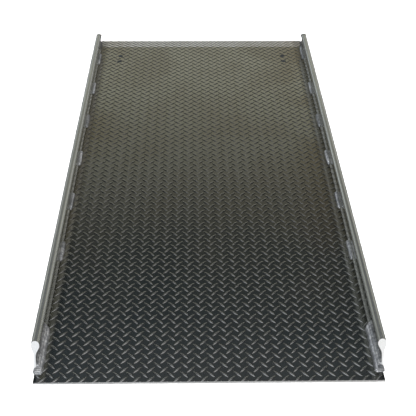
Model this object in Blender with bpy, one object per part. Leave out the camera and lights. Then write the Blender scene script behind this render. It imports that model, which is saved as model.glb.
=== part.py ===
"""Aluminium loading ramp for a truck: a tread-plate deck with beaded side curbs, stitch welded,
stringers under the deck, a bent-down apron at the truck end and two hanging chain rings.

Metres, +Z up. X runs across the ramp, -Y is the ground end and +Y is the truck end. The origin is
at the centre of the bounding box, on the floor.
"""

import math

import bmesh
import bpy
from mathutils import Matrix, Vector

# Gap between pieces that touch on the real ramp
GAP = 0.0003

# Deck: one sheet, flat and then bent down at the truck end
DECK_WIDTH = 0.762
DECK_LENGTH = 1.750
PLATE = 0.00476
APRON_LENGTH = 0.082
APRON_BEND = math.radians(8.0)

# Stringers and cross members: rectangular tube
STRINGER_DEPTH = 0.0508
STRINGER_WIDTH = 0.0254
STRINGER_WALL = 0.0032
STRINGER_X = {"left": -0.360, "centre": 0.0, "right": 0.360}
STRINGER_START = 0.040
STRINGER_END = 1.738
TAPER_TIP_DEPTH = 0.008
TAPER_LENGTH = 0.260
CROSS_DEPTH = 0.038
CROSS_WIDTH = 0.0254
CROSS_WALL = 0.0032
CROSS_AT = {"near": 0.360, "middle": 1.030, "far": 1.722}

# Side curbs: an extrusion with a pear-shaped bead on top, a web set a little outboard and a flared foot
CURB_HEIGHT = 0.0635
CURB_WEB = 0.00476
CURB_X = DECK_WIDTH / 2 - CURB_WEB / 2
WEB_OUTBOARD = 0.0015
BEAD_RADIUS = 0.0095
BEAD_TAPER = math.radians(24.0)
NECK_HEIGHT = 0.0340
FOOT_HALF_WIDTH = 0.0063
FOOT_LIP = 0.0025
FOOT_HEIGHT = 0.016
GROOVE_HALF_WIDTH = 0.0024
GROOVE_HEIGHT = 0.0040
# How the foot narrows into the web: share of the foot's overhang that is left, at a share of its height
FOOT_FLARE = ((0.475, 0.45), (0.10, 0.75), (0.0, 1.0))
# How the bead narrows into the web: share of the bead's overhang that is left, at a share of the way up
NECK_FLARE = ((0.0, 0.0), (0.06, 0.16), (0.19, 0.33))
CURB_NEAR_BASE = 0.030
CURB_NEAR_TOP = 0.0625
CURB_FAR_BASE = 1.788
CURB_FAR_TOP = 1.725

# Welds between the curbs and the deck: start and end of each bead, from the near edge
NEAR_WELD = (0.0305, 0.163)
STITCH_LENGTH = 0.080
STITCH_FIRST = 0.472
STITCH_PITCH = 0.233
STITCHES = 5
FAR_WELD = {"left": (1.600, 1.682), "right": (1.641, 1.748)}
CURB_WELD_RUN = 0.0065
CURB_WELD_RISE = 0.0080
NEAR_WELD_RUN = 0.0095
NEAR_WELD_RISE = 0.0200
END_WELD_RUN = 0.0045
END_WELD_RISE = 0.0130
END_WELD_LENGTH = 2 * FOOT_HALF_WIDTH
# How a weld bead grows from its end: size at this distance along it
BEAD_END_SWELL = ((0.0, 0.35), (0.0025, 0.80), (0.006, 1.0))

# Welds under the deck
UNDER_WELD_LEG = 0.005
UNDER_WELD_LENGTH = 0.075
UNDER_WELDS_AT = {"near": 0.470, "middle": 0.930, "far": 1.500}

# Chain anchors: a strap clip bolted under the deck, with a D-shaped ring hanging in it
ANCHOR_X = 0.298
ANCHOR_AT = 1.647
BOLT_SPACING = 0.046
CLIP_LENGTH = 0.076
CLIP_WIDTH = 0.025
CLIP_THICKNESS = 0.003
RING_WIRE_RADIUS = 0.004
RING_HALF_WIDTH = 0.020
RING_CORNER = 0.008
RING_LEG = 0.012
RING_CLEARANCE = 0.0005

# Flat-head bolts, washers and lock nuts of the chain anchors
BOLT_RADIUS = 0.0040
BOLT_HEAD_RADIUS = 0.0083
BOLT_HEAD_DEPTH = 0.0043
BOLT_HEAD_RIM = 0.0003
BOLT_END = 0.0135
HOLE_CLEARANCE = 0.0005
SOCKET_RADIUS = 0.0029
SOCKET_DEPTH = 0.0026
WASHER_RADIUS = 0.0080
WASHER_THICKNESS = 0.0016
NUT_FLATS = 0.013
NUT_HEIGHT = 0.0042
NUT_COLLAR_HEIGHT = 0.0022
NUT_COLLAR_RADIUS = 0.0056

ROUND = 32

# Heights and distances that follow from the sizes above
TOTAL_LENGTH = DECK_LENGTH + APRON_LENGTH * math.cos(APRON_BEND)
CURB_NEAR_SLOPE = (CURB_NEAR_TOP - CURB_NEAR_BASE) / CURB_HEIGHT
UNDERSIDE = STRINGER_DEPTH + GAP
DECK_TOP = UNDERSIDE + PLATE
SIDES = {"left": -1, "right": 1}


def along(distance):
    """Y of a point this far from the deck's near edge."""
    return distance - TOTAL_LENGTH / 2


def material(name, colour, roughness, metallic):
    made = bpy.data.materials.new(name)
    made.use_nodes = True
    principled = made.node_tree.nodes["Principled BSDF"]
    principled.inputs["Base Color"].default_value = (*colour, 1.0)
    principled.inputs["Roughness"].default_value = roughness
    principled.inputs["Metallic"].default_value = metallic
    return made


def node(name, mesh, look, location=(0.0, 0.0, 0.0)):
    made = bpy.data.objects.new(name, mesh)
    made.location = location
    colour, roughness, metallic = look
    mesh.materials.append(material(name, colour, roughness, metallic))
    bpy.context.scene.collection.objects.link(made)
    return made


def finished(shape, name, smooth_angle=None):
    """A mesh from a bmesh, with its faces turned outwards."""
    bmesh.ops.recalc_face_normals(shape, faces=shape.faces)
    mesh = bpy.data.meshes.new(name)
    shape.to_mesh(mesh)
    shape.free()
    if smooth_angle is not None:
        mesh.shade_smooth()
        mesh.set_sharp_from_angle(angle=smooth_angle)
    return mesh


def lofted(sections):
    """A closed bmesh through rings of points, each ring with the same number of points."""
    shape = bmesh.new()
    rings = [[shape.verts.new(point) for point in section] for section in sections]
    count = len(rings[0])
    for lower, upper in zip(rings, rings[1:]):
        for i in range(count):
            following = (i + 1) % count
            shape.faces.new((lower[i], lower[following], upper[following], upper[i]))
    shape.faces.new(reversed(rings[0]))
    shape.faces.new(rings[-1])
    return shape


def turned(profile, segments=ROUND):
    """A closed solid of revolution about Z, from (radius, height) points listed from the top down."""
    sections = []
    for radius, height in profile:
        ring = []
        for i in range(segments):
            angle = 2 * math.pi * i / segments
            ring.append((radius * math.cos(angle), radius * math.sin(angle), height))
        sections.append(ring)
    return lofted(sections)


def cutter(name, mesh, location=(0.0, 0.0, 0.0)):
    """A hidden helper that only cuts."""
    made = bpy.data.objects.new(name, mesh)
    made.location = location
    made.hide_render = True
    made.display_type = "WIRE"
    bpy.context.scene.collection.objects.link(made)
    return made


def cut(target, tool):
    modifier = target.modifiers.new(tool.name, "BOOLEAN")
    modifier.operation = "DIFFERENCE"
    modifier.object = tool


def deck_mesh():
    """The bent sheet: its side outline, pushed across the whole width."""
    tip = TOTAL_LENGTH
    drop = APRON_LENGTH * math.sin(APRON_BEND)
    inside_bend = PLATE * math.tan(APRON_BEND / 2)
    outline = [
        (0.0, 0.0),
        (DECK_LENGTH, 0.0),
        (tip, -drop),
        (tip - PLATE * math.sin(APRON_BEND), -drop - PLATE * math.cos(APRON_BEND)),
        (DECK_LENGTH - inside_bend, -PLATE),
        (0.0, -PLATE),
    ]
    sections = []
    for x in (-DECK_WIDTH / 2, DECK_WIDTH / 2):
        sections.append([(x, along(y), DECK_TOP + z) for y, z in outline])
    return finished(lofted(sections), "deck_plate")


def tube_mesh(name, start, end, width, depth, wall):
    """A rectangular tube from start to end along X or Y, open at both ends, its top at their height."""
    start, end = Vector(start), Vector(end)
    direction = (end - start).normalized()
    side = direction.cross(Vector((0.0, 0.0, 1.0)))
    shape = bmesh.new()
    ends = []
    for place in (start, end):
        rings = []
        for inset in (0.0, wall):
            half = width / 2 - inset
            corners = []
            for across, height in (
                (-half, -inset),
                (half, -inset),
                (half, inset - depth),
                (-half, inset - depth),
            ):
                corners.append(shape.verts.new(place + side * across + Vector((0.0, 0.0, height))))
            rings.append(corners)
        ends.append(rings)
    for i in range(4):
        following = (i + 1) % 4
        for layer in (0, 1):
            first, last = ends[0][layer], ends[1][layer]
            shape.faces.new((first[i], first[following], last[following], last[i]))
        for outer, inner in ends:
            shape.faces.new((outer[i], outer[following], inner[following], inner[i]))
    return finished(shape, name)


def taper_cutter():
    """The wedge that thins the stringers towards the ground end."""
    below = -STRINGER_DEPTH - 0.02
    before = STRINGER_START - 0.02
    slope = (STRINGER_DEPTH - TAPER_TIP_DEPTH) / TAPER_LENGTH
    after = STRINGER_START + TAPER_LENGTH - (below + STRINGER_DEPTH) / slope
    outline = [
        (before, -TAPER_TIP_DEPTH + (STRINGER_START - before) * slope),
        (after, below),
        (before, below),
    ]
    half = DECK_WIDTH / 2 + 0.02
    sections = []
    for x in (-half, half):
        sections.append([(x, along(y), UNDERSIDE + z) for y, z in outline])
    return cutter("stringer_taper_cutter", finished(lofted(sections), "stringer_taper_cutter"))


def web_face(turn):
    """Distance inboard from the curb's middle to its web's inboard (turn 1) or outboard (turn -1) face."""
    return turn * CURB_WEB / 2 - WEB_OUTBOARD


def foot_flare(turn):
    """The curving side of the foot, from its lip up to the web, as (inboard, height) points."""
    web = web_face(turn)
    overhang = turn * FOOT_HALF_WIDTH - web
    return [(web + share * overhang, up * FOOT_HEIGHT) for share, up in FOOT_FLARE]


def curb_side(turn):
    """One side of the curb's section, from its groove up to the top of its bead."""
    bead_centre = CURB_HEIGHT - BEAD_RADIUS
    side = [
        (turn * GROOVE_HALF_WIDTH, 0.0),
        (turn * FOOT_HALF_WIDTH, 0.0),
        (turn * FOOT_HALF_WIDTH, FOOT_LIP),
    ]
    side += foot_flare(turn)
    web = web_face(turn)
    tangent_across = turn * BEAD_RADIUS * math.cos(BEAD_TAPER)
    tangent_height = bead_centre - BEAD_RADIUS * math.sin(BEAD_TAPER)
    for share, up in NECK_FLARE:
        side.append((web + share * (tangent_across - web), NECK_HEIGHT + up * (tangent_height - NECK_HEIGHT)))
    steps = 12
    for i in range(steps):
        angle = -BEAD_TAPER + (math.pi / 2 + BEAD_TAPER) * i / steps
        side.append(
            (turn * BEAD_RADIUS * math.cos(angle), bead_centre + BEAD_RADIUS * math.sin(angle))
        )
    return side


def curb_outline():
    """The curb's section as (inboard, height) points, up its inboard side and down the other."""
    return curb_side(1) + [(0.0, CURB_HEIGHT)] + curb_side(-1)[::-1] + [(0.0, GROOVE_HEIGHT)]


def curb_mesh(name):
    """The left curb's extrusion, with both ends sawn on a slant."""
    far_slope = (CURB_FAR_TOP - CURB_FAR_BASE) / CURB_HEIGHT
    outline = curb_outline()
    near = [(x, along(CURB_NEAR_BASE + z * CURB_NEAR_SLOPE), z) for x, z in outline]
    far = [(x, along(CURB_FAR_BASE + z * far_slope), z) for x, z in outline]
    return finished(lofted([near, far]), name, math.radians(32.0))


def bead_mesh(name, section, length):
    """A weld bead along +Y from its start, thinner at both ends.

    section(swell) gives the bead's (across, height) points, full size where swell is 1.
    """
    stations = list(BEAD_END_SWELL)
    stations += [(length - y, swell) for y, swell in reversed(BEAD_END_SWELL)]
    rings = [[(x, y, z) for x, z in section(swell)] for y, swell in stations]
    return finished(lofted(rings), name, math.radians(40.0))


def curb_weld_section(swell):
    """The stitch fillet on the foot's inner side, as (inboard, height) points."""
    foot = FOOT_HALF_WIDTH + GAP
    lip = FOOT_LIP + 2 * GAP
    rise = (CURB_WELD_RISE - lip) * swell
    flare = foot_flare(1)[0][0] + 2 * GAP
    lean = (foot - flare) * swell
    run = CURB_WELD_RUN * swell
    return [
        (foot + run, 0.0),
        (foot + run * 0.92, (lip + rise) * 0.16),
        (foot + run * 0.48, (lip + rise) * 0.55),
        (foot - lean * 0.30, lip + rise * 0.88),
        (foot - lean, lip + rise),
        (foot, lip),
        (foot, 0.0),
    ]


def near_weld_section(swell):
    """The heavy fillet of the ground end, carried up over the foot and on up the web."""
    foot = FOOT_HALF_WIDTH + GAP
    web = web_face(1) + 2 * GAP
    top = FOOT_HEIGHT + (NEAR_WELD_RISE - FOOT_HEIGHT) * swell
    run = NEAR_WELD_RUN * swell
    behind = [(across + 2 * GAP, height + GAP) for across, height in foot_flare(1)]
    return [
        (foot + run, 0.0),
        (foot + run * 0.90, top * 0.10),
        (foot + run * 0.45, top * 0.30),
        (foot * 0.80 + run * 0.15, top * 0.55),
        (foot * 0.60, top * 0.80),
        (web + 0.0012, top),
        (web, top),
    ] + behind[::-1] + [
        (foot, FOOT_LIP + 2 * GAP),
        (foot, 0.0),
    ]


def fillet(run, rise):
    """A plain fillet's section, with its corner as the last point."""
    return [
        (run, 0.0),
        (run * 0.62, rise * 0.48),
        (run * 0.30, rise * 0.78),
        (0.0, rise),
        (0.0, 0.0),
    ]


def under_weld_section(swell):
    """The fillet between a tube's side and the deck's underside."""
    return fillet(UNDER_WELD_LEG * swell, -UNDER_WELD_LEG * swell)


def end_weld_section(swell):
    """The fillet across the foot's sawn near end, leaning back with the slant it lies against."""
    run = END_WELD_RUN * swell
    rise = END_WELD_RISE * swell
    lean = rise * CURB_NEAR_SLOPE
    return [
        (run, 0.0),
        (run * 0.85, rise * 0.35),
        (run * 0.45 - lean * 0.45, rise * 0.80),
        (-lean, rise),
        (0.0, 0.0),
    ]


def mirrored(mesh):
    """The same mesh, turned over left to right."""
    mesh.transform(Matrix.Scale(-1.0, 4, (1.0, 0.0, 0.0)))
    mesh.flip_normals()
    return mesh


def countersink_cutter(name, location):
    """A bolt hole through the deck and the clip under it, opened out for the flat head."""
    hole = BOLT_RADIUS + HOLE_CLEARANCE
    head = BOLT_HEAD_RADIUS + HOLE_CLEARANCE
    profile = [
        (head + BOLT_HEAD_RIM, BOLT_HEAD_RIM * 2),
        (head, -BOLT_HEAD_RIM),
        (hole, -BOLT_HEAD_DEPTH),
        (hole, -0.02),
    ]
    return cutter(name, finished(turned(profile), name), location)


def bolt_mesh(name):
    """A flat-head bolt pointing down, with the top of its head at its origin."""
    profile = [
        (BOLT_HEAD_RADIUS, 0.0),
        (BOLT_HEAD_RADIUS, -BOLT_HEAD_RIM),
        (BOLT_RADIUS, -BOLT_HEAD_DEPTH),
        (BOLT_RADIUS, -PLATE - BOLT_END + 0.0008),
        (BOLT_RADIUS - 0.0008, -PLATE - BOLT_END),
    ]
    return finished(turned(profile), name, math.radians(30.0))


def washer_mesh(name):
    """A flat ring under the strap, its top at its origin."""
    shape = bmesh.new()
    rings = []
    for radius, height in (
        (WASHER_RADIUS, 0.0),
        (WASHER_RADIUS, -WASHER_THICKNESS),
        (BOLT_RADIUS + HOLE_CLEARANCE, -WASHER_THICKNESS),
        (BOLT_RADIUS + HOLE_CLEARANCE, 0.0),
    ):
        ring = []
        for i in range(ROUND):
            angle = 2 * math.pi * i / ROUND
            ring.append(shape.verts.new((radius * math.cos(angle), radius * math.sin(angle), height)))
        rings.append(ring)
    for first, second in zip(rings, rings[1:] + rings[:1]):
        for i in range(ROUND):
            following = (i + 1) % ROUND
            shape.faces.new((first[i], first[following], second[following], second[i]))
    return finished(shape, name, math.radians(30.0))


def nut_mesh(name):
    """A hexagon lock nut with a round collar at its lower end, drilled through, its top at its origin."""
    shape = bmesh.new()
    bore = BOLT_RADIUS + HOLE_CLEARANCE
    count = 24
    levels = (
        (NUT_FLATS / 2, 0.0, True),
        (NUT_FLATS / 2, -NUT_HEIGHT, True),
        (NUT_COLLAR_RADIUS, -NUT_HEIGHT, False),
        (NUT_COLLAR_RADIUS, -NUT_HEIGHT - NUT_COLLAR_HEIGHT, False),
        (bore, -NUT_HEIGHT - NUT_COLLAR_HEIGHT, False),
        (bore, 0.0, False),
    )
    rings = []
    for radius, height, flat_sided in levels:
        ring = []
        for i in range(count):
            angle = 2 * math.pi * i / count
            reach = radius
            if flat_sided:
                from_flat = (angle + math.pi / 6) % (math.pi / 3) - math.pi / 6
                reach = radius / math.cos(from_flat)
            ring.append(shape.verts.new((reach * math.cos(angle), reach * math.sin(angle), height)))
        rings.append(ring)
    for first, second in zip(rings, rings[1:] + rings[:1]):
        for i in range(count):
            following = (i + 1) % count
            shape.faces.new((first[i], first[following], second[following], second[i]))
    return finished(shape, name, math.radians(30.0))


def clip_mesh(name):
    """The strap, looped under the ring's bar. Its flanges' top is at height 0."""
    inner = RING_WIRE_RADIUS + RING_CLEARANCE
    outer = inner + CLIP_THICKNESS
    bar_height = GAP - inner
    steps = 10
    over = [(-CLIP_LENGTH / 2, 0.0), (-inner, 0.0)]
    under = [(-CLIP_LENGTH / 2, -CLIP_THICKNESS), (-outer, -CLIP_THICKNESS)]
    for i in range(steps + 1):
        angle = math.pi + math.pi * i / steps
        over.append((inner * math.cos(angle), bar_height + inner * math.sin(angle)))
        under.append((outer * math.cos(angle), bar_height + outer * math.sin(angle)))
    over += [(inner, 0.0), (CLIP_LENGTH / 2, 0.0)]
    under += [(outer, -CLIP_THICKNESS), (CLIP_LENGTH / 2, -CLIP_THICKNESS)]
    outline = over + under[::-1]
    sections = []
    for x in (-CLIP_WIDTH / 2, CLIP_WIDTH / 2):
        sections.append([(x, y, z) for y, z in outline])
    return finished(lofted(sections), name, math.radians(30.0))


def ring_path():
    """The ring's centre line as (across, height) points, with its straight bar at height 0."""
    points = []
    corner_steps = 5
    for side in (-1, 1):
        arc = []
        for i in range(corner_steps + 1):
            angle = math.pi / 2 * i / corner_steps
            across = RING_HALF_WIDTH - RING_CORNER + RING_CORNER * math.sin(angle)
            arc.append((side * across, RING_CORNER * (math.cos(angle) - 1)))
        points += arc[::-1] if side < 0 else arc
    bow_steps = 16
    for i in range(bow_steps + 1):
        angle = -math.pi * i / bow_steps
        points.append(
            (RING_HALF_WIDTH * math.cos(angle), -RING_LEG + RING_HALF_WIDTH * math.sin(angle))
        )
    return points


def ring_curve(name):
    """The D-shaped ring: round wire along a closed path."""
    curve = bpy.data.curves.new(name, "CURVE")
    curve.dimensions = "3D"
    curve.bevel_depth = RING_WIRE_RADIUS
    curve.bevel_resolution = 3
    path = ring_path()
    spline = curve.splines.new("POLY")
    spline.points.add(len(path) - 1)
    for point, (x, z) in zip(spline.points, path):
        point.co = (x, 0.0, z, 1.0)
    spline.use_cyclic_u = True
    return curve


def build_deck():
    deck = node("deck_plate", deck_mesh(), DECK_LOOK)
    for side, sign in SIDES.items():
        for place, offset in (("near", -BOLT_SPACING / 2), ("far", BOLT_SPACING / 2)):
            location = (sign * ANCHOR_X, along(ANCHOR_AT + offset), DECK_TOP)
            cut(deck, countersink_cutter(f"{side}_{place}_bolt_hole_cutter", location))


def build_frame():
    """Stringers, cross members and the welds that hold them under the deck."""
    taper = taper_cutter()
    top = UNDERSIDE - GAP
    for place, x in STRINGER_X.items():
        name = f"{place}_stringer"
        ends = ((x, along(STRINGER_START), top), (x, along(STRINGER_END), top))
        mesh = tube_mesh(name, *ends, STRINGER_WIDTH, STRINGER_DEPTH, STRINGER_WALL)
        cut(node(name, mesh, FRAME_LOOK), taper)
        for row, start in UNDER_WELDS_AT.items():
            name = f"{place}_stringer_{row}_weld"
            weld = bead_mesh(name, under_weld_section, UNDER_WELD_LENGTH)
            outward = 1 if place == "left" else -1
            if outward < 0:
                mirrored(weld)
            beside = x + outward * (STRINGER_WIDTH / 2 + GAP)
            node(name, weld, WELD_LOOK, (beside, along(start), UNDERSIDE - GAP))
    reach = STRINGER_X["right"] - STRINGER_WIDTH / 2 - GAP
    beside = STRINGER_WIDTH / 2 + GAP
    for row, distance in CROSS_AT.items():
        for side, sign in SIDES.items():
            name = f"{side}_{row}_cross_member"
            ends = ((sign * beside, along(distance), top), (sign * reach, along(distance), top))
            mesh = tube_mesh(name, *ends, CROSS_WIDTH, CROSS_DEPTH, CROSS_WALL)
            node(name, mesh, FRAME_LOOK)
            name = f"{side}_{row}_cross_weld"
            weld = bead_mesh(name, under_weld_section, UNDER_WELD_LENGTH)
            weld.transform(Matrix.Rotation(-math.pi / 2, 4, "Z"))
            start = sign * (beside + reach) / 2 - UNDER_WELD_LENGTH / 2
            edge = along(distance) - CROSS_WIDTH / 2 - GAP
            node(name, weld, WELD_LOOK, (start, edge, UNDERSIDE - GAP))


def build_curbs():
    base = DECK_TOP + GAP
    slanted = Matrix.Identity(4)
    slanted[1][2] = CURB_NEAR_SLOPE
    for side, sign in SIDES.items():
        name = f"{side}_side_curb"
        curb = curb_mesh(name)
        if sign > 0:
            mirrored(curb)
        node(name, curb, CURB_LOOK, (sign * CURB_X, 0.0, base))
        beads = {"near": NEAR_WELD, "far": FAR_WELD[side]}
        for i in range(STITCHES):
            middle = STITCH_FIRST + i * STITCH_PITCH
            beads[f"stitch_{i + 1}"] = (middle - STITCH_LENGTH / 2, middle + STITCH_LENGTH / 2)
        for bead, (start, end) in beads.items():
            name = f"{side}_curb_{bead}_weld"
            section = near_weld_section if bead == "near" else curb_weld_section
            weld = bead_mesh(name, section, end - start)
            if bead == "near":
                weld.transform(slanted)
            if sign > 0:
                mirrored(weld)
            node(name, weld, WELD_LOOK, (sign * CURB_X, along(start), base))
        name = f"{side}_curb_end_weld"
        weld = bead_mesh(name, end_weld_section, END_WELD_LENGTH)
        weld.transform(Matrix.Rotation(-math.pi / 2, 4, "Z"))
        start = sign * CURB_X - END_WELD_LENGTH / 2
        node(name, weld, WELD_LOOK, (start, along(CURB_NEAR_BASE) - GAP, base))


def build_anchor(side, sign):
    """A clip, its ring and the fasteners that hold them."""
    x = sign * ANCHOR_X
    middle = along(ANCHOR_AT)
    strap_top = UNDERSIDE - GAP
    name = f"{side}_chain_ring_clip"
    clip = node(name, clip_mesh(name), STEEL_LOOK, (x, middle, strap_top))
    bar_height = UNDERSIDE - RING_WIRE_RADIUS - RING_CLEARANCE
    name = f"{side}_chain_ring"
    node(name, ring_curve(name), STEEL_LOOK, (x, middle, bar_height))
    washer_top = strap_top - CLIP_THICKNESS - GAP
    nut_top = washer_top - WASHER_THICKNESS - GAP
    for place, offset in (("near", -BOLT_SPACING / 2), ("far", BOLT_SPACING / 2)):
        y = middle + offset
        cut(clip, bpy.data.objects[f"{side}_{place}_bolt_hole_cutter"])
        name = f"{side}_{place}_anchor_bolt"
        bolt = node(name, bolt_mesh(name), STEEL_LOOK, (x, y, DECK_TOP))
        socket = turned([(SOCKET_RADIUS, 0.001), (SOCKET_RADIUS, -SOCKET_DEPTH)], 6)
        name = f"{side}_{place}_socket_cutter"
        cut(bolt, cutter(name, finished(socket, name), (x, y, DECK_TOP)))
        name = f"{side}_{place}_anchor_washer"
        node(name, washer_mesh(name), STEEL_LOOK, (x, y, washer_top))
        name = f"{side}_{place}_anchor_nut"
        node(name, nut_mesh(name), STEEL_LOOK, (x, y, nut_top))


# Colour, roughness and metallic value of each kind of piece
DECK_LOOK = ((0.30, 0.30, 0.26), 0.35, 0.9)
CURB_LOOK = ((0.55, 0.56, 0.55), 0.35, 0.9)
WELD_LOOK = ((0.50, 0.52, 0.54), 0.45, 0.9)
FRAME_LOOK = ((0.58, 0.59, 0.59), 0.40, 0.9)
STEEL_LOOK = ((0.34, 0.38, 0.43), 0.40, 0.95)

for leftover in list(bpy.data.objects):
    bpy.data.objects.remove(leftover, do_unlink=True)
build_deck()
build_frame()
build_curbs()
for anchor_side, anchor_sign in SIDES.items():
    build_anchor(anchor_side, anchor_sign)
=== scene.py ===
"""The look of the loading ramp: its materials and fine surfaces, with a floor, lights and a camera.

Metres, +Z up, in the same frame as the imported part: X across, -Y the ground end, +Y the truck end.
"""

import math

import bmesh
import bpy
import numpy as np
from mathutils import Matrix, Vector
from mathutils.geometry import delaunay_2d_cdt


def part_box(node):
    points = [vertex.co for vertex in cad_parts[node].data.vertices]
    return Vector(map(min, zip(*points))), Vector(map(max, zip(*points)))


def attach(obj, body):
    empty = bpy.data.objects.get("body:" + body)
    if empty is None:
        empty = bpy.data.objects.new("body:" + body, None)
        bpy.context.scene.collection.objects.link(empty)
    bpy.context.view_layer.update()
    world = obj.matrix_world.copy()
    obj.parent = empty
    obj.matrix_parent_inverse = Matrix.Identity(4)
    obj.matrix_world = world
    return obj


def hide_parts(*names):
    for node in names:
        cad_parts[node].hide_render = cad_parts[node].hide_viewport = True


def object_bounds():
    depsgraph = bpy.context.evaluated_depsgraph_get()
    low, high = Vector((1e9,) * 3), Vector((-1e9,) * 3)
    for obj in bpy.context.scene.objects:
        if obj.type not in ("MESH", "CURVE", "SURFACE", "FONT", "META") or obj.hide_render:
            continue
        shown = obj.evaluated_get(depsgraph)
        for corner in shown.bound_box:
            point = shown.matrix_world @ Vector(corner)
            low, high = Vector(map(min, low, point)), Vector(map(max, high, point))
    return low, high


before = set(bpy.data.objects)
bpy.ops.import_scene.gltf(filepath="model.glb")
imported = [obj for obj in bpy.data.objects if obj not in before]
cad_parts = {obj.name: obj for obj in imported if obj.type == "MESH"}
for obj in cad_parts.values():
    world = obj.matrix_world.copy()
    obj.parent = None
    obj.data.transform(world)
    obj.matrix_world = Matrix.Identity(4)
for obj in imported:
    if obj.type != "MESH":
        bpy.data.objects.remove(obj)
cad_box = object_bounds()

SIDES = {"left": -1, "right": 1}

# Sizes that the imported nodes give
deck_low, deck_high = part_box("deck_plate")
NEAR_Y = deck_low.y
TIP_Y = deck_high.y
DECK_TOP = deck_high.z
DECK_HALF_WIDTH = deck_high.x

# Sizes of the sheet that its box alone doesn't give
PLATE = 0.00476
APRON_BEND = math.radians(8.0)
BEND_Y = NEAR_Y + 1.750

# Tread: a square lattice of lens-shaped lugs leaning right, with a second lattice leaning left between them
LUG_PITCH = 0.029218
LUG_PHASE = (0.648, 0.254)
LUG_HALF_LENGTH = 0.0130
LUG_HALF_WIDTH = 0.0025
LUG_HEIGHT = 0.0013
LUG_SKIRT = 0.0016
CELL_OVERHANG = 0.0036
LUG_STATIONS = (-0.84, -0.50, 0.0, 0.50, 0.84)
LUG_SECTION = ((-1.0, 0.0), (-0.8, 0.66), (-0.5, 0.95), (0.0, 1.0), (0.5, 0.95), (0.8, 0.66), (1.0, 0.0))

# Curbs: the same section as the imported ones, more finely drawn
CURB_WEB = 0.00476
CURB_X = DECK_HALF_WIDTH - CURB_WEB / 2
CURB_HEIGHT = 0.0635
CURB_NEAR_SLOPE = (0.0625 - 0.0300) / CURB_HEIGHT
CURB_FAR_SLOPE = (1.725 - 1.788) / CURB_HEIGHT
WEB_OUTBOARD = 0.0015
BEAD_RADIUS = 0.0095
BEAD_TAPER = math.radians(24.0)
BEAD_STEPS = 28
NECK_HEIGHT = 0.0340
FOOT_HALF_WIDTH = 0.0063
FOOT_LIP = 0.0025
FOOT_HEIGHT = 0.016
FOOT_EDGE = 0.0004
GROOVE_HALF_WIDTH = 0.0024
GROOVE_DEPTH = 0.0040
FOOT_FLARE = ((0.80, 0.26), (0.475, 0.45), (0.24, 0.60), (0.10, 0.75), (0.0, 1.0))
NECK_FLARE = ((0.0, 0.0), (0.06, 0.16), (0.19, 0.33))

# Weld beads on the curbs: how far they spread over the deck, how high they climb, how far they lean back
STITCH_BEAD = (0.0062, 0.0078, 0.0026)
NEAR_BEAD = (0.0092, 0.0198, 0.0053)
END_BEAD = (0.0044, 0.0130, 0.0)
RIPPLE_PITCH = 0.0033
RIPPLE_HEIGHT = 0.0013
FACE_STEPS = 12
FACE_BULGE = 0.0008
STATION_SPACING = 0.0006
CORNER_STEPS = 14
BEHIND_FACE = 0.0015
UNDER_DECK_TOP = 0.0004

# Countersink around each bolt, from just above the deck's top down, as (radius, height)
COUNTERSINK = ((0.0112, 0.0020), (0.0092, -0.0003), (0.0046, -0.0046), (0.0046, -0.0070))

ROUND = 48


# ---------------------------------------------------------------- node materials


class Nodes:
    """A short way to write a node tree: each call adds a node and returns one of its outputs."""

    def __init__(self, tree):
        self.tree = tree
        tree.nodes.clear()

    def add(self, kind, output=0, settings=None, **inputs):
        made = self.tree.nodes.new(kind)
        for name, value in (settings or {}).items():
            setattr(made, name, value)
        for name, value in inputs.items():
            self.feed(made.inputs[name.replace("_", " ")], value)
        return made.outputs[output]

    def feed(self, socket, value):
        if isinstance(value, bpy.types.NodeSocket):
            self.tree.links.new(value, socket)
        else:
            socket.default_value = value

    def math(self, operation, first, second=0.0, third=0.0):
        made = self.tree.nodes.new("ShaderNodeMath")
        made.operation = operation
        for socket, value in zip(made.inputs, (first, second, third)):
            self.feed(socket, value)
        return made.outputs[0]

    def mix(self, factor, first, second, blend="MIX"):
        """A colour between first and second."""
        made = self.tree.nodes.new("ShaderNodeMix")
        made.data_type = "RGBA"
        made.blend_type = blend
        self.feed(made.inputs[0], factor)
        self.feed(made.inputs[6], colour(first))
        self.feed(made.inputs[7], colour(second))
        return made.outputs[2]

    def span(self, value, low, high, to_low=0.0, to_high=1.0):
        """value carried from low..high to to_low..to_high, and held there outside it."""
        made = self.tree.nodes.new("ShaderNodeMapRange")
        made.clamp = True
        for socket, number in zip(made.inputs, (value, low, high, to_low, to_high)):
            self.feed(socket, number)
        return made.outputs[0]

    def place(self, scale=(1.0, 1.0, 1.0)):
        """The point's own coordinates in metres, stretched."""
        coordinates = self.add("ShaderNodeTexCoord", "Object")
        return self.add("ShaderNodeMapping", Vector=coordinates, Scale=scale)

    def noise(self, scale, detail=3.0, roughness=0.5, stretch=(1.0, 1.0, 1.0), distortion=0.0):
        return self.add(
            "ShaderNodeTexNoise",
            Vector=self.place(stretch),
            Scale=scale,
            Detail=detail,
            Roughness=roughness,
            Distortion=distortion,
        )

    def bump(self, height, distance, strength=1.0, normal=None):
        made = self.tree.nodes.new("ShaderNodeBump")
        self.feed(made.inputs["Height"], height)
        made.inputs["Distance"].default_value = distance
        made.inputs["Strength"].default_value = strength
        if normal is not None:
            self.feed(made.inputs["Normal"], normal)
        return made.outputs[0]


def colour(value):
    return (*value, 1.0) if isinstance(value, tuple) and len(value) == 3 else value


def metal(name, base_color, roughness, normal, nodes, metallic=1.0):
    principled = nodes.tree.nodes.new("ShaderNodeBsdfPrincipled")
    nodes.feed(principled.inputs["Base Color"], colour(base_color))
    nodes.feed(principled.inputs["Roughness"], roughness)
    nodes.feed(principled.inputs["Normal"], normal)
    principled.inputs["Metallic"].default_value = metallic
    output = nodes.tree.nodes.new("ShaderNodeOutputMaterial")
    nodes.tree.links.new(principled.outputs[0], output.inputs[0])
    return principled


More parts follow.
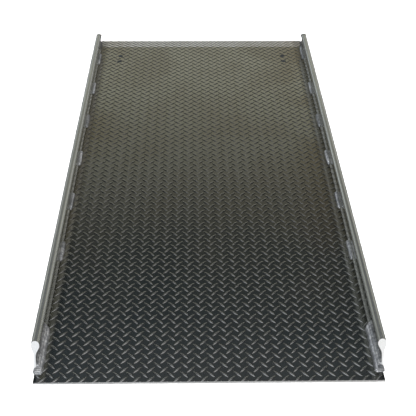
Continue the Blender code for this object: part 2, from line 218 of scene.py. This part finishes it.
def new_material(name):
    made = bpy.data.materials.new(name)
    made.use_nodes = True
    return made, Nodes(made.node_tree)


def tread_material():
    """Rolled aluminium tread plate: browner up the ramp, with painted shade round each lug's foot and
    beside the curbs, and a painted highlight on the lug tops, bright at the ground end and dimming up the
    ramp.
    """
    made, n = new_material("tread_plate_aluminium")
    streaks = n.noise(30.0, 4.0, 0.6, stretch=(6.0, 0.35, 1.0))
    patches = n.noise(5.0, 5.0, 0.55, stretch=(1.0, 0.8, 1.0), distortion=0.4)
    grain = n.noise(900.0, 3.0, 0.6)
    across = n.add("ShaderNodeSeparateXYZ", "X", Vector=n.place())
    along = n.add("ShaderNodeSeparateXYZ", "Y", Vector=n.place())
    up_the_ramp = n.span(along, -0.75, -0.30)
    off_centre = n.math("ABSOLUTE", across)
    edge = n.span(off_centre, 0.26, 0.375)
    lug = n.add("ShaderNodeAttribute", "Fac", {"attribute_name": "lug"})
    stain = n.math("MULTIPLY", n.span(patches, 0.42, 0.62), n.math("MULTIPLY_ADD", edge, 0.6, 0.35))
    flat = n.mix(n.span(streaks, 0.35, 0.65), (0.68, 0.68, 0.65), (0.72, 0.72, 0.70))
    flat = n.mix(stain, flat, n.mix(up_the_ramp, (0.50, 0.51, 0.51), (0.52, 0.46, 0.37)))
    # painted shade: the plate is darkened in a ring round each lug's foot
    painted_shade_beside_lug = n.math("MULTIPLY", n.span(lug, 0.0, 1.0), n.span(lug, 1.5, 1.0))
    flat = n.mix(painted_shade_beside_lug, flat, (0.14, 0.14, 0.135))
    # painted shade: the plate is darkened in a strip beside each curb
    painted_shade_beside_curb = n.span(off_centre, DECK_HALF_WIDTH - 0.040, DECK_HALF_WIDTH - 0.016, 0.0, 0.8)
    flat = n.mix(painted_shade_beside_curb, flat, n.mix(up_the_ramp, (0.20, 0.21, 0.21), (0.22, 0.20, 0.165)))
    # painted highlight: the lug tops are painted bright at the ground end and darker up the ramp
    lug_top_painted_highlight = n.mix(n.span(along, -0.88, -0.30), (0.76, 0.78, 0.80), (0.36, 0.36, 0.35))
    base = n.mix(n.span(lug, 1.1, 1.5, 0.0, 0.9), flat, lug_top_painted_highlight)
    roughness = n.math("ADD", n.span(patches, 0.35, 0.65, 0.10, 0.16), n.span(streaks, 0.3, 0.7, 0.0, 0.01))
    normal = n.bump(n.noise(55.0, 2.0, 0.5), 0.0003, 0.25)
    normal = n.bump(n.span(lug, 0.0, 1.0), 0.00015, 1.0, normal)
    normal = n.bump(grain, 0.00002, 0.5, normal)
    metal(made.name, base, roughness, normal, n)
    return made


def extrusion_material(name, base=(0.75, 0.77, 0.76), roughness_low=0.17):
    """Mill-finish extruded aluminium with die lines along Y, smudges, and painted shade just above the
    deck, where the curb meets it.
    """
    made, n = new_material(name)
    lines = n.noise(300.0, 2.0, 0.6, stretch=(1.0, 0.004, 1.0))
    smudges = n.noise(14.0, 4.0, 0.55, stretch=(1.0, 0.4, 1.0))
    grey = n.mix(n.span(lines, 0.38, 0.62), base, tuple(0.72 * c for c in base))
    grey = n.mix(n.span(smudges, 0.45, 0.68, 0.0, 0.5), grey, tuple(0.74 * c for c in base))
    height = n.add("ShaderNodeSeparateXYZ", "Z", Vector=n.place())
    above_deck = n.span(height, DECK_TOP - 0.0005, DECK_TOP)
    # painted shade: a dark band painted on the curb within a few millimetres above the deck
    painted_shade_near_deck = n.span(height, DECK_TOP + 0.006, DECK_TOP + 0.002, 0.0, 0.8)
    grey = n.mix(n.math("MULTIPLY", above_deck, painted_shade_near_deck), grey, (0.20, 0.19, 0.17))
    along = n.add("ShaderNodeSeparateXYZ", "Y", Vector=n.place())
    truck_end = n.span(along, TIP_Y - 0.125, TIP_Y - 0.110, 0.0, 0.6)
    grey = n.mix(n.math("MULTIPLY", above_deck, truck_end), grey, (0.22, 0.23, 0.25))
    roughness = n.span(smudges, 0.3, 0.7, roughness_low, roughness_low + 0.08)
    normal = n.bump(lines, 0.0003, 0.6)
    metal(name, grey, roughness, normal, n, metallic=0.94)
    return made


def sawn_material():
    """Freshly sawn aluminium: pale, with fine saw marks."""
    made, n = new_material("sawn_aluminium")
    marks = n.noise(900.0, 3.0, 0.6, stretch=(1.0, 1.0, 0.05))
    pale = n.mix(n.span(marks, 0.35, 0.65), (0.93, 0.94, 0.94), (0.80, 0.81, 0.81))
    normal = n.bump(marks, 0.00005, 0.7)
    metal(made.name, pale, 0.34, normal, n)
    return made


def weld_material():
    """Aluminium weld bead: satin, bluish light grey, with a little soot in patches and painted shade in the
    valleys between its ripples.
    """
    made, n = new_material("weld_aluminium")
    mottle = n.noise(130.0, 4.0, 0.6)
    soot = n.noise(28.0, 3.0, 0.5)
    along = n.add("ShaderNodeSeparateXYZ", "Y", Vector=n.place())
    wandering = n.math("MULTIPLY_ADD", mottle, 0.0012, along)
    # painted shade: the valleys between the ripples are darkened
    painted_shade_in_valley = n.span(n.math("PINGPONG", wandering, RIPPLE_PITCH / 2), 0.0, RIPPLE_PITCH / 3, 0.9, 0.0)
    pale = n.mix(n.span(mottle, 0.42, 0.58), (0.52, 0.55, 0.59), (0.98, 0.99, 1.00))
    pale = n.mix(n.span(soot, 0.52, 0.66, 0.0, 0.7), pale, (0.30, 0.31, 0.32))
    pale = n.mix(painted_shade_in_valley, pale, (0.22, 0.23, 0.24))
    roughness = n.span(mottle, 0.3, 0.7, 0.26, 0.40)
    normal = n.bump(n.noise(500.0, 3.0, 0.6), 0.0004, 0.7)
    metal(made.name, pale, roughness, normal, n, metallic=0.97)
    return made


def steel_material():
    """Zinc-plated steel: bluish, with a fine spangle."""
    made, n = new_material("zinc_steel")
    spangle = n.noise(260.0, 3.0, 0.6)
    wear = n.noise(60.0, 4.0, 0.6)
    blue = n.mix(n.span(spangle, 0.4, 0.6), (0.12, 0.15, 0.22), (0.20, 0.24, 0.32))
    blue = n.mix(n.span(wear, 0.55, 0.72), blue, (0.33, 0.31, 0.27))
    normal = n.bump(spangle, 0.00003, 0.5)
    metal(made.name, blue, n.span(wear, 0.3, 0.7, 0.16, 0.28), normal, n)
    return made


def floor_material():
    """A pale matt floor with a faint mottle."""
    made, n = new_material("pale_floor")
    mottle = n.noise(1.5, 4.0, 0.6)
    pale = n.mix(n.span(mottle, 0.3, 0.7), (0.93, 0.93, 0.93), (0.90, 0.90, 0.90))
    metal(made.name, pale, 0.9, n.bump(n.noise(60.0, 2.0, 0.5), 0.0005, 0.1), n, metallic=0.0)
    return made


def backdrop_material():
    """A plain white glow behind the floor."""
    made, n = new_material("pale_backdrop")
    glow = n.add("ShaderNodeEmission", Color=(1.0, 1.0, 1.0, 1.0), Strength=1.0)
    output = n.tree.nodes.new("ShaderNodeOutputMaterial")
    n.tree.links.new(glow, output.inputs[0])
    return made


# ---------------------------------------------------------------- meshes


def piece(name, mesh, body, replaced, materials):
    made = bpy.data.objects.new(name, mesh)
    bpy.context.scene.collection.objects.link(made)
    for look in materials:
        mesh.materials.append(look)
    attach(made, body)
    if replaced:
        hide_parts(*replaced)
    return made


def mesh_from(name, points, faces):
    mesh = bpy.data.meshes.new(name)
    mesh.from_pydata([tuple(p) for p in points], [], [tuple(int(i) for i in f) for f in faces])
    mesh.update()
    return mesh


def lug_outline(spread):
    """The lug's foot, spread outward: one tip, the stations of one side, the other tip, the other side."""
    sides = []
    for t in LUG_STATIONS:
        sides.append((t * LUG_HALF_LENGTH, LUG_HALF_WIDTH * (1 - abs(t) ** 2.2) ** 0.75 + spread))
    reach = LUG_HALF_LENGTH + spread / 3
    return [(-reach, 0.0)] + sides + [(reach, 0.0)] + [(x, -y) for x, y in reversed(sides)]


def lug_cell():
    """One lug and the flat plate around it, in the lug's own axes: points, triangles and a flag per point.

    The flag is 2 on top of the lug, 1 along its foot and 0 on the plate around it. The cell is longer than
    the lattice step along the lug and narrower across it, so that cells of the two directions interlock
    like a basket weave, with a small square left over at each crossing.
    """
    step = LUG_PITCH / math.sqrt(2)
    long_half = step / 2 + CELL_OVERHANG
    short_half = step / 2 - CELL_OVERHANG
    border = []
    for side in (-1, 1):
        for x in (-long_half, -short_half, short_half, long_half):
            border.append((x, side * short_half))
    foot = lug_outline(0.0)
    skirt = lug_outline(LUG_SKIRT)
    flat = [Vector(xy) for xy in foot + skirt + border]
    count = len(foot)
    # the triangulation keeps both outlines as edges, and the lug itself takes the place of the inner one
    rims = []
    for start in (0, count):
        rims += [(start + i, start + (i + 1) % count) for i in range(count)]
    _, _, triangles, sources, _, _ = delaunay_2d_cdt(flat, rims, [], 0, 1e-9)
    faces = []
    for triangle in triangles:
        corners = [sources[i][0] for i in triangle]
        if max(corners) >= count:
            faces.append(corners)
    points = [(x, y, 0.0) for x, y in flat]
    flags = [1.0] * count + [0.0] * (len(flat) - count)
    sections = []
    stations = len(LUG_STATIONS)
    for k, t in enumerate(LUG_STATIONS):
        half = foot[1 + k][1]
        height = LUG_HEIGHT * (1 - abs(t) ** 2.6)
        section = [2 * stations + 1 - k]
        for across, rise in LUG_SECTION[1:-1]:
            section.append(len(points))
            points.append((t * LUG_HALF_LENGTH, across * half, rise * height))
            flags.append(1.0 + rise)
        section.append(1 + k)
        sections.append(section)
    for first, second in zip(sections, sections[1:]):
        for i in range(len(first) - 1):
            faces.append([first[i], second[i], second[i + 1]])
            faces.append([first[i], second[i + 1], first[i + 1]])
    for i in range(len(LUG_SECTION) - 1):
        faces.append([0, sections[0][i], sections[0][i + 1]])
        faces.append([stations + 1, sections[-1][i + 1], sections[-1][i]])
    return np.array(points), np.array(faces), np.array(flags)


def tread_surface():
    """The whole tread as points, triangles and lug flags, a little larger than the sheet, lying flat."""
    step = LUG_PITCH / math.sqrt(2)
    cell_points, cell_faces, cell_flags = lug_cell()
    gap_half = CELL_OVERHANG
    turn = math.sqrt(0.5)
    all_points, all_faces, all_flags = [], [], []
    count = 0
    reach = int((DECK_HALF_WIDTH * 2 + TIP_Y - NEAR_Y) / step) + 4
    origin = Vector((-DECK_HALF_WIDTH + LUG_PHASE[0] * LUG_PITCH, NEAR_Y + LUG_PHASE[1] * LUG_PITCH))
    margin = LUG_PITCH
    for m in range(-reach, reach):
        for k in range(-reach, reach):
            centre_x = origin.x + (m - k) * step * turn
            centre_y = origin.y + (m + k) * step * turn
            if abs(centre_x) > DECK_HALF_WIDTH + margin:
                continue
            if not NEAR_Y - margin < centre_y < TIP_Y + margin + 0.002:
                continue
            leaning_right = (m + k) % 2 == 0
            along_x, along_y = (turn, turn) if leaning_right else (-turn, turn)
            moved = cell_points.copy()
            moved[:, 0] = centre_x + cell_points[:, 0] * along_x - cell_points[:, 1] * along_y
            moved[:, 1] = centre_y + cell_points[:, 0] * along_y + cell_points[:, 1] * along_x
            all_points.append(moved)
            all_faces.append(cell_faces + count)
            all_flags.append(cell_flags)
            count += len(moved)
            # the small square left over at the crossing up and to the side of this cell
            middle = np.array([centre_x, centre_y + step * turn])
            corners = []
            for a, b in ((-1, -1), (1, -1), (1, 1), (-1, 1)):
                corners.append(
                    (
                        middle[0] + gap_half * (a - b) * turn,
                        middle[1] + gap_half * (a + b) * turn,
                        0.0,
                    )
                )
            all_points.append(np.array(corners))
            all_faces.append(np.array([[0, 1, 2], [0, 2, 3]]) + count)
            all_flags.append(np.zeros(4))
            count += 4
    points = np.concatenate(all_points)
    faces = np.concatenate(all_faces)
    flags = np.concatenate(all_flags)
    _, first, index = np.unique(np.round(points, 6), axis=0, return_index=True, return_inverse=True)
    return points[first], index.reshape(-1)[faces], flags[first]


def bent(y, z, mitre):
    """Carries a point of the flat sheet (z measured from its top) into the bent one."""
    if abs(z + PLATE) < 1e-7 and abs(y - BEND_Y) < mitre:
        return BEND_Y - mitre, z
    if y <= BEND_Y:
        return y, z
    beyond = y - BEND_Y
    return (
        BEND_Y + beyond * math.cos(APRON_BEND) + z * math.sin(APRON_BEND),
        z * math.cos(APRON_BEND) - beyond * math.sin(APRON_BEND),
    )


def rim_order(vertices):
    """The vertices of one closed rim, in the order its edges run."""
    inside = set(vertices)
    ordered = [vertices[0]]
    previous = None
    while True:
        current = ordered[-1]
        beside = [edge.other_vert(current) for edge in current.link_edges]
        following = next(v for v in beside if v in inside and v is not previous)
        if following is ordered[0]:
            return ordered
        previous = current
        ordered.append(following)


def deck_mesh(name):
    """The bent sheet of tread plate as one closed mesh, its edges sawn through the lugs."""
    points, faces, flags = tread_surface()
    mesh = mesh_from(name, points, faces)
    layer = mesh.attributes.new("lug", "FLOAT", "POINT")
    layer.data.foreach_set("value", flags.astype(np.float32))
    shape = bmesh.new()
    shape.from_mesh(mesh)
    flat_end = BEND_Y + (TIP_Y - BEND_Y) / math.cos(APRON_BEND)
    for place, outward, clear in (
        ((DECK_HALF_WIDTH, 0, 0), (1, 0, 0), True),
        ((-DECK_HALF_WIDTH, 0, 0), (-1, 0, 0), True),
        ((0, NEAR_Y, 0), (0, -1, 0), True),
        ((0, flat_end, 0), (0, 1, 0), True),
        ((0, BEND_Y, 0), (0, 1, 0), False),
    ):
        everything = shape.verts[:] + shape.edges[:] + shape.faces[:]
        bmesh.ops.bisect_plane(
            shape, geom=everything, dist=1e-6, plane_co=place, plane_no=outward, clear_outer=clear
        )
    rim = [edge for edge in shape.edges if edge.is_boundary]
    grown = bmesh.ops.extrude_edge_only(shape, edges=rim)["geom"]
    lower = [item for item in grown if isinstance(item, bmesh.types.BMVert)]
    lug_flag = shape.verts.layers.float["lug"]
    for vertex in lower:
        vertex.co.z = -PLATE
        vertex[lug_flag] = 0.0
    ring = rim_order(lower)
    bend = []
    for side in (-1, 1):
        bend.append(min((v for v in ring if v.co.x * side > 0), key=lambda v: abs(v.co.y - BEND_Y)))
    first, second = sorted(ring.index(v) for v in bend)
    shape.faces.new(ring[first : second + 1])
    shape.faces.new(ring[second:] + ring[: first + 1])
    mitre = PLATE * math.tan(APRON_BEND / 2)
    for vertex in shape.verts:
        y, z = bent(vertex.co.y, vertex.co.z, mitre)
        vertex.co.y = y
        vertex.co.z = DECK_TOP + z
    bmesh.ops.recalc_face_normals(shape, faces=shape.faces)
    for face in shape.faces:
        sawn = abs(face.normal.x) > 0.99 or abs(face.normal.z) < 0.3
        face.material_index = 1 if sawn else 0
    shape.to_mesh(mesh)
    shape.free()
    return mesh


def shade(mesh, flat_normals=()):
    """Smooth shading with sharp edges, also where a plain flat surface meets anything that leans."""
    shape = bmesh.new()
    shape.from_mesh(mesh)
    flats = [Vector(normal) for normal in flat_normals]
    sharp_angle = math.radians(28.0)
    for face in shape.faces:
        face.smooth = True
    for edge in shape.edges:
        angle = edge.calc_face_angle(math.pi)
        edge.smooth = angle < sharp_angle
        if edge.smooth and angle > math.radians(1.0):
            for flat in flats:
                on_flat = [face.normal.dot(flat) > 0.99999 for face in edge.link_faces]
                if any(on_flat) and not all(on_flat):
                    edge.smooth = False
    shape.to_mesh(mesh)
    shape.free()


def lofted(sections):
    """A closed bmesh through rings of points, with its two end faces in material 1."""
    shape = bmesh.new()
    rings = [[shape.verts.new(point) for point in section] for section in sections]
    count = len(rings[0])
    for lower, upper in zip(rings, rings[1:]):
        for i in range(count):
            following = (i + 1) % count
            shape.faces.new((lower[i], lower[following], upper[following], upper[i]))
    for ring in (rings[0][::-1], rings[-1]):
        shape.faces.new(ring).material_index = 1
    bmesh.ops.recalc_face_normals(shape, faces=shape.faces)
    return shape


def finished(shape, name):
    """Turns a bmesh into a mesh and frees it."""
    mesh = bpy.data.meshes.new(name)
    shape.to_mesh(mesh)
    shape.free()
    return mesh


def turned(profile, segments=ROUND):
    """A closed solid of revolution about Z, from (radius, height) points from one end to the other."""
    sections = []
    for radius, height in profile:
        ring = []
        for i in range(segments):
            angle = 2 * math.pi * i / segments
            ring.append((radius * math.cos(angle), radius * math.sin(angle), height))
        sections.append(ring)
    return lofted(sections)


def carve(made, tools):
    """Cuts the tool meshes out of an object for good."""
    cutters = []
    for tool in tools:
        cutter = bpy.data.objects.new(made.name + "_cutter", tool)
        bpy.context.scene.collection.objects.link(cutter)
        cutters.append(cutter)
        modifier = made.modifiers.new("cut", "BOOLEAN")
        modifier.operation = "DIFFERENCE"
        modifier.solver = "EXACT"
        modifier.object = cutter
    graph = bpy.context.evaluated_depsgraph_get()
    result = bpy.data.meshes.new_from_object(made.evaluated_get(graph))
    made.modifiers.clear()
    made.data = result
    for cutter in cutters:
        bpy.data.objects.remove(cutter)


def curb_side_points(turn):
    """One side of the curb's section, from its groove up to the top of its bead, as (inboard, height)."""
    bead_centre = CURB_HEIGHT - BEAD_RADIUS
    web = turn * CURB_WEB / 2 - WEB_OUTBOARD
    foot = turn * FOOT_HALF_WIDTH
    edge = turn * FOOT_EDGE
    side = [(turn * GROOVE_HALF_WIDTH, 0.0), (foot - edge, 0.0), (foot, FOOT_EDGE)]
    side += [(foot, FOOT_LIP - FOOT_EDGE), (foot - edge, FOOT_LIP + FOOT_EDGE)]
    side += [(web + share * (foot - web), up * FOOT_HEIGHT) for share, up in FOOT_FLARE]
    tangent_across = turn * BEAD_RADIUS * math.cos(BEAD_TAPER)
    tangent_height = bead_centre - BEAD_RADIUS * math.sin(BEAD_TAPER)
    for share, up in NECK_FLARE:
        height = NECK_HEIGHT + up * (tangent_height - NECK_HEIGHT)
        side.append((web + share * (tangent_across - web), height))
    for i in range(BEAD_STEPS):
        angle = -BEAD_TAPER + (math.pi / 2 + BEAD_TAPER) * i / BEAD_STEPS
        side.append((turn * BEAD_RADIUS * math.cos(angle), bead_centre + BEAD_RADIUS * math.sin(angle)))
    return side


def curb_object(side, sign):
    """One curb: the extrusion with both ends sawn on a slant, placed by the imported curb's own box."""
    name = f"{side}_side_curb"
    low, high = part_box(name)
    outline = curb_side_points(1) + [(0.0, CURB_HEIGHT)]
    outline += curb_side_points(-1)[::-1] + [(0.0, GROOVE_DEPTH)]
    placed = [(sign * (CURB_X - inboard), low.z + z, z) for inboard, z in outline]
    near = [(x, low.y + z * CURB_NEAR_SLOPE, height) for x, height, z in placed]
    far = [(x, high.y + z * CURB_FAR_SLOPE, height) for x, height, z in placed]
    return piece(
        f"{side}_curb_extrusion",
        finished(lofted([near, far]), name),
        "ramp",
        [name],
        [EXTRUSION, SAWN],
    )


def ripple(arc, bend):
    """A weld's ripple height, 0 to 1, at this distance along it; bend shifts the ripples into crescents."""
    phase = (arc / RIPPLE_PITCH + bend) % 1.0
    return 1.0 - (2.0 * phase - 1.0) ** 2


def weld_mesh(name, stations, slant, seed):
    """A rippled bead through stations of (place, outward, (run, rise, lean)).

    Its face goes from the deck, run outward of place, up to a line rise above the deck and lean behind
    place; slant shears it along Y with height.
    """
    rng = np.random.default_rng(seed)
    wobble = rng.uniform(0.0, 2 * math.pi, 4)
    arcs = [0.0]
    for (before, _, _), (place, _, _) in zip(stations, stations[1:]):
        arcs.append(arcs[-1] + max((place - before).length, STATION_SPACING))
    sections = []
    for arc, (place, outward, (run, rise, lean)) in zip(arcs, stations):
        ends = min(arc, arcs[-1] - arc) / 0.006
        swell = min(1.0, max(0.0, ends)) ** 0.5 * 0.88 + 0.12
        wide = 1.0 + 0.06 * math.sin(arc / 0.011 + wobble[0])
        wide += 0.04 * math.sin(arc / 0.0043 + wobble[1])
        tall = 1.0 + 0.05 * math.sin(arc / 0.013 + wobble[2])
        tall += 0.04 * math.sin(arc / 0.0051 + wobble[3])
        section = []
        for i in range(FACE_STEPS + 1):
            t = i / FACE_STEPS
            bulge = math.sin(math.pi * t)
            crest = (ripple(arc, 0.55 * (2 * t - 1) ** 2) - 0.5) * RIPPLE_HEIGHT * (0.25 + bulge)
            out = run * wide * (1 - t) - lean * t + bulge * FACE_BULGE + crest
            up = rise * tall * t + bulge * FACE_BULGE + crest
            section.append((out * swell, up * swell))
        back = -lean * swell - BEHIND_FACE
        section += [(back, rise * 0.9 * swell), (back, -UNDER_DECK_TOP)]
        section.append((run * 0.9 * swell, -UNDER_DECK_TOP))
        ring = []
        for out, up in section:
            point = place + outward * out
            ring.append((point.x, point.y + slant * max(up, 0.0), point.z + up))
        sections.append(ring)
    return finished(lofted(sections), name)


def straight_stations(start, end, outward, size):
    """Evenly spaced stations of one bead size along a straight line."""
    count = max(2, int((end - start).length / STATION_SPACING))
    return [(start.lerp(end, i / count), outward, size) for i in range(count + 1)]


def near_weld_stations(sign, start, corner):
    """Down the inner side of the foot, round its corner, and across its sawn face."""
    inboard = Vector((-sign, 0.0, 0.0))
    nearward = Vector((0.0, -1.0, 0.0))
    stations = straight_stations(start, corner, inboard, NEAR_BEAD)
    for i in range(1, CORNER_STEPS):
        share = i / CORNER_STEPS
        angle = math.pi / 2 * share
        outward = inboard * math.cos(angle) + nearward * math.sin(angle)
        size = [a + (b - a) * share for a, b in zip(NEAR_BEAD, END_BEAD)]
        stations.append((corner, outward, size))
    across = corner + Vector((sign * 2 * FOOT_HALF_WIDTH, 0.0, 0.0))
    return stations + straight_stations(corner, across, nearward, END_BEAD)


def curb_welds(side, sign):
    """The beads on the curb's inner side, with the near one carried round the foot's end."""
    foot_x = sign * (CURB_X - FOOT_HALF_WIDTH)
    names = [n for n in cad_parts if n.startswith(f"{side}_curb_") and n.endswith("_weld")]
    for seed, name in enumerate(sorted(names)):
        if name.endswith("_end_weld"):
            continue
        low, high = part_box(name)
        start = Vector((foot_x, high.y, DECK_TOP))
        if name.endswith("_near_weld"):
            corner = Vector((foot_x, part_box(f"{side}_side_curb")[0].y, DECK_TOP))
            stations = near_weld_stations(sign, start, corner)
            replaced = [name, f"{side}_curb_end_weld"]
            slant = CURB_NEAR_SLOPE
        else:
            end = Vector((foot_x, low.y, DECK_TOP))
            stations = straight_stations(start, end, Vector((-sign, 0.0, 0.0)), STITCH_BEAD)
            replaced = [name]
            slant = 0.0
        mesh = weld_mesh(name, stations, slant, seed * 7 + 40 * (sign + 1))
        piece(f"{name}_bead", mesh, "ramp", replaced, [WELD, WELD])


# ---------------------------------------------------------------- the ramp

TREAD = tread_material()
EXTRUSION = extrusion_material("extruded_aluminium")
TUBE = extrusion_material("tube_aluminium", (0.66, 0.67, 0.67), 0.28)
SAWN = sawn_material()
WELD = weld_material()
STEEL = steel_material()

deck = piece(
    "tread_plate_deck",
    deck_mesh("tread_plate_deck"),
    "ramp",
    ["deck_plate"],
    [TREAD, SAWN],
)
sinks = []
for anchor_side in SIDES:
    for anchor_place in ("near", "far"):
        bolt_low, bolt_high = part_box(f"{anchor_side}_{anchor_place}_anchor_bolt")
        middle = (bolt_low + bolt_high) / 2
        sink = finished(turned(COUNTERSINK), "sink")
        sink.transform(Matrix.Translation((middle.x, middle.y, DECK_TOP)))
        sinks.append(sink)
carve(deck, sinks)
apron_normal = (0.0, math.sin(APRON_BEND), math.cos(APRON_BEND))
shade(deck.data, [(0.0, 0.0, 1.0), apron_normal])

for curb_side, curb_sign in SIDES.items():
    curb = curb_object(curb_side, curb_sign)
    shade(curb.data)
    curb_welds(curb_side, curb_sign)

for node_name, node_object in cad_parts.items():
    if node_name.endswith("_weld"):
        look = WELD
    elif "anchor" in node_name or "chain_ring" in node_name:
        look = STEEL
    else:
        look = TUBE
    for slot in node_object.material_slots:
        slot.material = look

# ---------------------------------------------------------------- floor, light and camera

FLOOR_REACH = 40.0
FLOOR_CLEARANCE = 0.0005
BACKDROP_WALL = ((38.0, -1.0), (38.0, 16.0))

floor_corners = [(a * FLOOR_REACH, b * FLOOR_REACH, 0.0) for a, b in ((-1, -1), (1, -1), (1, 1), (-1, 1))]
floor_mesh = mesh_from("floor", floor_corners, [(0, 1, 2, 3)])
floor = bpy.data.objects.new("floor", floor_mesh)
floor.location.z = cad_box[0][2] - FLOOR_CLEARANCE
floor_mesh.materials.append(floor_material())
bpy.context.scene.collection.objects.link(floor)
floor.visible_glossy = False

backdrop = bpy.data.objects.new("backdrop", finished(turned(BACKDROP_WALL), "backdrop"))
backdrop.data.materials.append(backdrop_material())
backdrop.visible_glossy = False
backdrop.visible_diffuse = False
backdrop.visible_shadow = False
bpy.context.scene.collection.objects.link(backdrop)


def soft_light(name, kind, power, location):
    """A wide lamp aimed at the ramp and not mirrored in its metal. A sun's power is per square metre."""
    data = bpy.data.lights.new(name, kind)
    data.energy = power
    if kind == "AREA":
        data.size = 9.0
    else:
        data.angle = math.radians(25.0)
    light = bpy.data.objects.new(name, data)
    light.location = location
    light.rotation_euler = (-Vector(location)).to_track_quat("-Z", "Y").to_euler()
    light.visible_glossy = False
    bpy.context.scene.collection.objects.link(light)


soft_light("overhead", "AREA", 300.0, (0.0, 0.0, 6.0))
soft_light("front", "SUN", 7.8, (0.0, -9.0, 7.0))


def band_ramp(n, height, bands):
    """A colour by elevation, from (degrees above the horizon, colour) bands; height is the sine of it."""
    ramp = n.tree.nodes.new("ShaderNodeValToRGB")
    n.feed(ramp.inputs[0], n.span(height, -1.0, 1.0))
    elements = ramp.color_ramp.elements
    while len(elements) < len(bands):
        elements.new(1.0)
    for element, (elevation, _) in zip(elements, bands):
        element.position = (math.sin(math.radians(elevation)) + 1) / 2
    for element, (_, light) in zip(elements, bands):
        element.color = (*light, 1.0)
    return ramp.outputs[0]


# What the metal mirrors on each wall, as (degrees above the horizon, colour)
FAR_WALL = (
    (-90.0, (0.10, 0.10, 0.10)),
    (-20.0, (0.08, 0.08, 0.08)),
    (-3.0, (0.12, 0.12, 0.12)),
    (2.0, (0.22, 0.23, 0.22)),
    (6.5, (0.62, 0.63, 0.61)),
    (10.5, (0.62, 0.63, 0.61)),
    (13.5, (0.28, 0.29, 0.27)),
    (18.0, (0.20, 0.20, 0.18)),
    (24.3, (0.348, 0.346, 0.274)),
    (26.0, (0.286, 0.284, 0.222)),
    (27.5, (0.226, 0.225, 0.174)),
    (30.3, (0.152, 0.152, 0.122)),
    (33.3, (0.080, 0.078, 0.067)),
    (35.5, (0.029, 0.033, 0.032)),
    (38.5, (0.025, 0.031, 0.033)),
    (42.5, (0.029, 0.037, 0.042)),
    (45.0, (0.055, 0.064, 0.070)),
    (50.0, (0.075, 0.075, 0.078)),
    (55.0, (0.13, 0.13, 0.13)),
    (60.0, (0.30, 0.30, 0.30)),
    (68.0, (0.42, 0.42, 0.42)),
    (78.0, (0.20, 0.20, 0.20)),
    (90.0, (0.12, 0.12, 0.12)),
)
SIDE_WALL = (
    (-90.0, (0.10, 0.10, 0.10)),
    (-8.0, (0.10, 0.10, 0.10)),
    (10.0, (0.09, 0.09, 0.09)),
    (20.0, (0.06, 0.06, 0.06)),
    (28.0, (0.030, 0.032, 0.034)),
    (45.0, (0.035, 0.037, 0.040)),
    (50.0, (0.06, 0.06, 0.06)),
    (56.0, (0.18, 0.18, 0.18)),
    (64.0, (0.45, 0.45, 0.45)),
    (78.0, (0.20, 0.20, 0.20)),
    (90.0, (0.12, 0.12, 0.12)),
)
FRONT_WALL = (
    (-90.0, (0.30, 0.30, 0.30)),
    (-40.0, (0.50, 0.50, 0.50)),
    (-10.0, (0.80, 0.81, 0.82)),
    (8.0, (1.25, 1.26, 1.28)),
    (25.0, (0.80, 0.80, 0.80)),
    (45.0, (0.30, 0.30, 0.30)),
    (60.0, (0.30, 0.30, 0.30)),
    (90.0, (0.12, 0.12, 0.12)),
)


def surroundings():
    """A plain room of soft bands: a far wall dark above half height, dark side walls and a bright front."""
    world = bpy.data.worlds.new("room")
    world.use_nodes = True
    n = Nodes(world.node_tree)
    separate = n.tree.nodes.new("ShaderNodeSeparateXYZ")
    n.feed(separate.inputs[0], n.add("ShaderNodeTexCoord", "Generated"))
    x, y, z = separate.outputs
    level = n.math("SQRT", n.math("MAXIMUM", n.math("SUBTRACT", 1.0, n.math("MULTIPLY", z, z)), 0.0001))
    farness = n.math("DIVIDE", y, level)
    walls = n.mix(n.span(farness, 0.80, 0.50), band_ramp(n, z, FAR_WALL), band_ramp(n, z, SIDE_WALL))
    walls = n.mix(n.span(farness, -0.20, -0.70), walls, band_ramp(n, z, FRONT_WALL))
    tint = n.mix(n.span(x, -0.35, 0.35), (0.97, 1.00, 1.03), (1.03, 1.00, 0.97))
    light = n.mix(1.0, walls, tint, "MULTIPLY")
    background = n.add("ShaderNodeBackground", Color=light, Strength=1.0)
    output = world.node_tree.nodes.new("ShaderNodeOutputWorld")
    world.node_tree.links.new(background, output.inputs[0])
    bpy.context.scene.world = world


surroundings()

camera_data = bpy.data.cameras.new("camera")
camera_data.sensor_width = 36.0
camera_data.lens = 78.62
camera = bpy.data.objects.new("camera", camera_data)
camera.location = (-0.0338, NEAR_Y - 1.4153, DECK_TOP + 1.4082)
camera.rotation_euler = (math.radians(55.967), math.radians(-0.305), math.radians(-0.928))
bpy.context.scene.collection.objects.link(camera)
bpy.context.scene.camera = camera
bpy.context.scene.view_settings.view_transform = "Standard"
